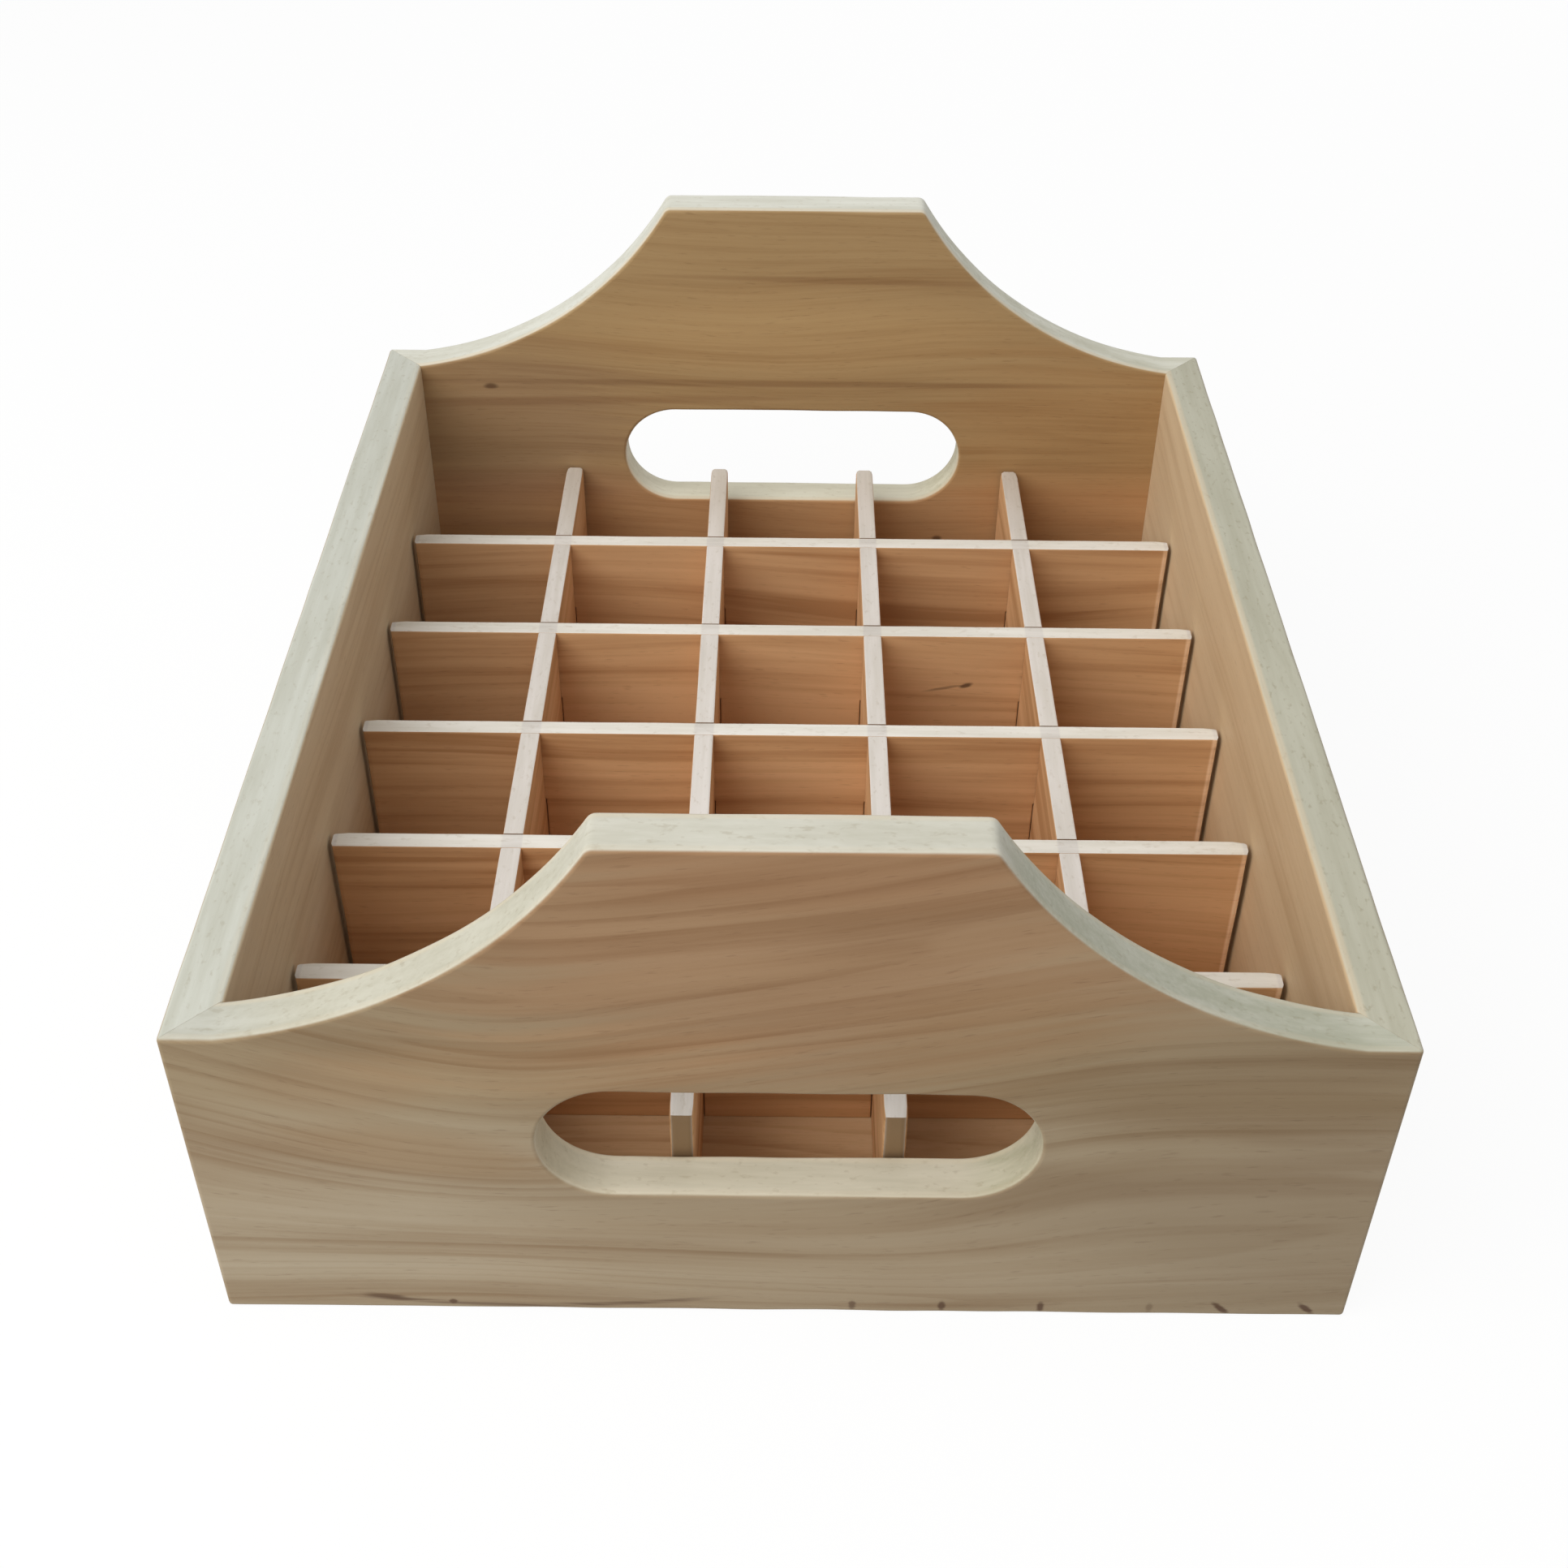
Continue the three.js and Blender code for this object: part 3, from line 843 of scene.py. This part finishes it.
def front_panel(wear):
    """The front, dented along its foot, with a reddish peak, painted light on its left end, and painted shade
    on its right end and right shoulder.
    """
    marks = [spot(x, 2.2 * MM, width=0.8 * MM, height=1.7 * MM, strength=depth) for x, depth in FOOT_DENTS]
    for x in SLANT_DENTS:
        marks.append(spot(x, 2.3 * MM, width=2.0 * MM, height=1.1 * MM, strength=0.95, lean=-0.85))
    knot = spot(-65.4 * MM, 2.2 * MM, width=0.9 * MM, height=0.9 * MM, strength=0.85)
    scratch = spot(-78 * MM, 3.5 * MM, width=5 * MM, height=0.9 * MM, strength=0.75, lean=-0.13)
    growth = ring_line(-50 * MM, 1.3 * MM, radius=230 * MM, width=0.9 * MM, reach=40 * MM, strength=0.75)
    marks += [knot, scratch, growth]
    brown_top = beyond("Z", 45 * MM, 66 * MM)
    red_peak = spot(2 * MM, 104 * MM, width=85 * MM, height=42 * MM)
    # Painted light on the left end and painted shade on the right end, as from the key light at the left.
    painted_light_left = spot(-95 * MM, 25 * MM, width=60 * MM, height=55 * MM)
    painted_shade_right = spot(95 * MM, 45 * MM, width=60 * MM, height=60 * MM)
    brown_right = spot(84 * MM, 62 * MM, width=50 * MM, height=11 * MM)
    pale_foot = spot(0, 12 * MM, width=80 * MM, height=22 * MM)
    brown_streak = spot(-68 * MM, 46.5 * MM, width=32 * MM, height=7 * MM, lean=-0.16)
    brown_middle = spot(36 * MM, 78 * MM, width=26 * MM, height=16 * MM)
    warm_tip = spot(4 * MM, 117 * MM, width=45 * MM, height=10 * MM)
    warm_left = spot(-80 * MM, 65 * MM, width=18 * MM, height=8 * MM)
    pale_peak = spot(-20 * MM, 99 * MM, width=30 * MM, height=9 * MM)
    pale_middle = spot(-42 * MM, 71 * MM, width=42 * MM, height=10 * MM, lean=0.08)
    pale_streak = spot(66 * MM, 49 * MM, width=24 * MM, height=8 * MM)
    pale_corner = spot(-82 * MM, 22 * MM, width=42 * MM, height=20 * MM)
    zones = [
        ((0.88, 0.85, 0.78), brown_top),
        ((1.07, 0.88, 0.79), red_peak),
        ((1.12, 1.14, 1.17), painted_light_left),
        ((0.90, 0.89, 0.88), painted_shade_right),
        ((0.83, 0.77, 0.70), brown_right),
        ((1.06, 1.05, 1.05), pale_foot),
        ((0.86, 0.77, 0.68), brown_streak),
        ((0.95, 0.94, 0.90), brown_middle),
        ((1.00, 0.945, 0.91), warm_tip),
        ((0.98, 0.93, 0.90), warm_left),
        ((1.08, 1.09, 1.11), pale_peak),
        ((1.16, 1.14, 1.12), pale_middle),
        ((1.08, 1.10, 1.11), pale_streak),
        ((1.03, 1.05, 1.08), pale_corner),
    ]
    left_shoulder = beyond("X", -30 * MM, -42 * MM)
    left_end = beyond("X", -80 * MM, -104 * MM)
    # Painted shade on the right shoulder, which faces away from the key light, in streaks of greyer wood.
    right_shoulder_shade = beyond("X", 31 * MM, 40 * MM, low=0.5)
    below_rim = beyond("Z", 70 * MM, 64 * MM)
    edge_zones = [
        ((0.90, 0.89, 0.85), left_shoulder),
        ((0.96, 0.99, 1.05), left_end),
        ((0.79, 0.82, 0.76), right_shoulder_shade),
        ((1.06, 0.99, 0.90), below_rim),
    ]
    lines = [inner_highlight(case_depth, strength=0.3), outer_highlight(case_depth, strength=0.15)]
    add_end_wall("front_panel", 0, wear, FRONT_LOOK, sweep=front_sweep, zones=zones, marks=marks,
                 edge_zones=edge_zones, lines=lines)


def right_panel(wear):
    """The right wall, with painted light on its inside, where it faces the key light, and browner there
    towards the front.
    """
    brown_front = both(inside, beyond("X", 95 * MM, 0))
    # The inside tint is painted light.
    zones = [((1.66, 1.66, 1.68), inside), ((0.89, 0.845, 0.80), brown_front)]
    lines = [inner_highlight(case_width, strength=0.5)]
    add_side_wall("right_panel", QUARTER_TURN, wear, RIGHT_LOOK, zones=zones, lines=lines)


def back_panel(wear):
    """The back, with dark growth lines above the hand hole, two pin knots, painted shadow near the left wall,
    painted shade on its right shoulder and painted light on its foot inside, where the dividers shade it.
    """
    high_knot = spot(81.8 * MM, 70.1 * MM, width=2.2 * MM, height=1.0 * MM, strength=0.8)
    low_knot = spot(-41.6 * MM, 22.8 * MM, width=1.6 * MM, height=1.2 * MM, strength=0.8)
    peak_line = spot(-12 * MM, 101.5 * MM, width=62 * MM, height=0.9 * MM, strength=0.55, lean=0.02)
    rim_line = spot(0, 71.5 * MM, width=120 * MM, height=1.1 * MM, strength=0.75)
    knot_line = spot(60 * MM, 66 * MM, width=62 * MM, height=1.6 * MM, strength=0.9, lean=-0.02)
    # A patch of painted shadow, where the left wall shades the back.
    painted_shadow_patch = spot(80 * MM, 55 * MM, width=45 * MM, height=30 * MM, strength=0.9)
    warm_patch = spot(-85 * MM, 52 * MM, width=50 * MM, height=35 * MM)
    pale_patch = spot(0, 86 * MM, width=70 * MM, height=14 * MM)
    # Painted light on the foot of the back's inside, which lies in the dividers' shade.
    painted_light_foot = both(inside, beyond("Z", 50 * MM, 34 * MM))
    zones = [
        ((0.74, 0.66, 0.62), peak_line),
        ((0.72, 0.65, 0.62), rim_line),
        ((0.80, 0.73, 0.70), knot_line),
        ((0.84, 0.82, 0.92), painted_shadow_patch),
        ((1.05, 0.97, 0.90), warm_patch),
        ((1.13, 1.12, 1.10), pale_patch),
        ((1.22, 1.08, 1.10), painted_light_foot),
        ((1.02, 1.14, 1.45), outside),
    ]
    below_rim = beyond("Z", 70 * MM, 64 * MM)
    # Painted shade on the right shoulder, which faces away from the key light, in streaks of greyer wood.
    right_shoulder_shade = beyond("X", -31 * MM, -42 * MM, low=0.5)
    edge_zones = [((0.99, 0.95, 0.86), below_rim), ((0.86, 0.85, 0.79), right_shoulder_shade)]
    lines = [inner_highlight(case_depth, strength=0.5)]
    add_end_wall("back_panel", HALF_TURN, wear, BACK_LOOK, zones=zones, marks=[high_knot, low_knot],
                 edge_zones=edge_zones, lines=lines)


def left_panel(wear):
    """The left wall, with painted light on its inside."""
    # The inside tint is painted light.
    zones = [((1.45, 1.48, 1.51), inside)]
    lines = [inner_highlight(case_width, strength=0.1)]
    add_side_wall("left_panel", -QUARTER_TURN, wear, LEFT_LOOK, zones=zones, lines=lines)


# The dividers. One of them has a knot with a tail.

KNOTTY_DIVIDER = "cross_divider_4"
DIVIDER_KNOT = (
    spot(44.2 * MM, 30.4 * MM, width=1.8 * MM, height=0.8 * MM, strength=0.85, lean=0.3),
    spot(38.5 * MM, 29.5 * MM, width=5.0 * MM, height=0.5 * MM, strength=0.5, lean=0.2),
)


def long_divider_finish(length):
    """A long divider's edges, a little dull all along and duller at the back end."""
    all_along = beyond("X", -length / 2 - MM, -length / 2)
    back_end = beyond("X", 70 * MM, length / 2)
    return {"edge_zones": [((0.90, 0.88, 0.90), all_along), ((0.82, 0.78, 0.73), back_end)]}


def cross_divider_finish(node, length, thickness):
    """A cross divider's faces, with a painted highlight at the right end and painted shadow in the first
    cell, and its joints' squares.
    """
    # A pale band at the right end: a painted highlight, where the arris would catch light off the right wall.
    right_end_highlight = beyond("X", length / 2 - 1.7 * MM, length / 2 - 1.0 * MM)
    # The first cell's tint is painted shadow of the left wall.
    first_cell_shadow = beyond("X", -60 * MM, -66 * MM)
    zones = [((1.4, 1.65, 2.1), right_end_highlight), ((0.90, 0.905, 0.92), first_cell_shadow)]
    pitch = abs(long_places[1] - long_places[0])
    squares = joint_squares(long_places[0], pitch, thickness / 2)
    edge_zones = [((0.86, 0.85, 0.88), squares)]
    marks = DIVIDER_KNOT if node == KNOTTY_DIVIDER else ()
    return {"zones": zones, "marks": marks, "edge_zones": edge_zones}


def add_divider(node, number):
    """A divider with a slot for each one that crosses it: from the top in a long one, else from below."""
    is_long = node in long_names
    low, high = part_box(node)
    size = high - low
    length, thickness = (size.y, size.x) if is_long else (size.x, size.y)
    crossings = cross_places if is_long else long_places
    outline = densify(divider_outline(length, size.z, crossings, thickness, is_long))
    wear = DIVIDER_WEAR_START + number * DIVIDER_WEAR_STEP
    end_start = length / 2 - DIVIDER_END
    board = eased_board([outline], thickness, DIVIDER_ARRIS, DIVIDER_ARRIS_STEPS, wear, end_start)
    turn = QUARTER_TURN if is_long else 0
    matrix = Matrix.Translation((*((low + high) / 2).xy, low.z)) @ Matrix.Rotation(turn, 4, "Z")
    finish = long_divider_finish(length) if is_long else cross_divider_finish(node, length, thickness)
    # The cross dividers' faces carry painted light by row: lighter at the front, darker at the back.
    tone = 1.0 if is_long else ROW_PAINTED_LIGHT[cross_names.index(node)]
    face = [c * tone for c in DIVIDER_LOOK.face]
    look = replace(DIVIDER_LOOK, seed=DIVIDER_LOOK.seed + number * DIVIDER_SEED_STEP, face=face)
    material = wood(node, turn, look, **finish)
    piece = add_piece(node, board, matrix, "divider_grid" if is_long else node, material)
    finish_surface(piece)


def dress(node, material):
    """Gives a node that keeps its own shape another material."""
    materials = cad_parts[node].data.materials
    materials.clear()
    materials.append(material)


# The studio.

def add_camera():
    data = bpy.data.cameras.new("camera")
    data.sensor_width = SENSOR_WIDTH
    data.lens = FOCAL_SHARE * SENSOR_WIDTH
    data.clip_start = NEAREST_SEEN
    camera = bpy.data.objects.new("camera", data)
    camera.location = CAMERA_PLACE
    camera.rotation_euler = (CAMERA_TILT, CAMERA_ROLL, CAMERA_PAN)
    bpy.context.scene.collection.objects.link(camera)
    bpy.context.scene.camera = camera


def add_lamp(name, place, size, power):
    data = bpy.data.lights.new(name, "AREA")
    data.shape = "DISK"
    data.size = size
    data.energy = power
    data.color = LAMP_COLOUR
    lamp = bpy.data.objects.new(name, data)
    aim = (LAMP_TARGET - Vector(place)).to_track_quat("-Z", "Y")
    lamp.matrix_world = Matrix.Translation(place) @ aim.to_matrix().to_4x4()
    lamp.visible_camera = False
    bpy.context.scene.collection.objects.link(lamp)


def floor_paint():
    """Pale paint that looks white to the camera and keeps a soft shadow."""
    s = Shader(bpy.data.materials.new("studio_floor"))
    seen = s.seen()
    colour = s.mix(seen, grey(FLOOR_BOUNCE), grey(FLOOR_SEEN))
    paint = s.node("ShaderNodeBsdfDiffuse", {"Color": colour}).outputs[0]
    glow = s.node("ShaderNodeEmission", {"Color": grey(1), "Strength": 1.0}).outputs[0]
    share = s.math("MULTIPLY", seen, FLOOR_GLOW)
    return s.finish(s.node("ShaderNodeMixShader", {0: share, 1: paint, 2: glow}).outputs[0])


def add_floor():
    bm = bmesh.new()
    bmesh.ops.create_circle(bm, cap_ends=True, segments=FLOOR_SIDES, radius=FLOOR_RADIUS)
    floor = to_object(bm, "floor")
    floor.data.materials.append(floor_paint())
    floor.location.z = case_low[2] - FLOOR_DROP
    bpy.context.scene.collection.objects.link(floor)


def add_world():
    """An even white room, plain white to the camera and in reflections."""
    s = Shader(bpy.data.worlds.new("studio"))
    inputs = {"Value": s.seen(), "To Min": ROOM_LIGHT, "To Max": ROOM_SEEN}
    strength = s.node("ShaderNodeMapRange", inputs).outputs[0]
    glow = s.node("ShaderNodeBackground", {"Color": grey(1), "Strength": strength}).outputs[0]
    bpy.context.scene.world = s.finish(glow)


# The run: the walls and dividers, the pieces that keep their shapes, then the studio.

for number, add_panel in enumerate((front_panel, right_panel, back_panel, left_panel)):
    add_panel(number * WALL_WEAR_STEP)
for number, node in enumerate(long_names + cross_names):
    add_divider(node, number)
dress("bottom_panel", wood("bottom_panel", 0, BOTTOM_LOOK))
brad_look = steel()
for node in brad_names:
    dress(node, brad_look)

add_camera()
add_floor()
add_world()
for name, (place, size, power) in LAMPS.items():
    add_lamp(name, place, size, power)
bpy.context.scene.view_settings.view_transform = "Standard"
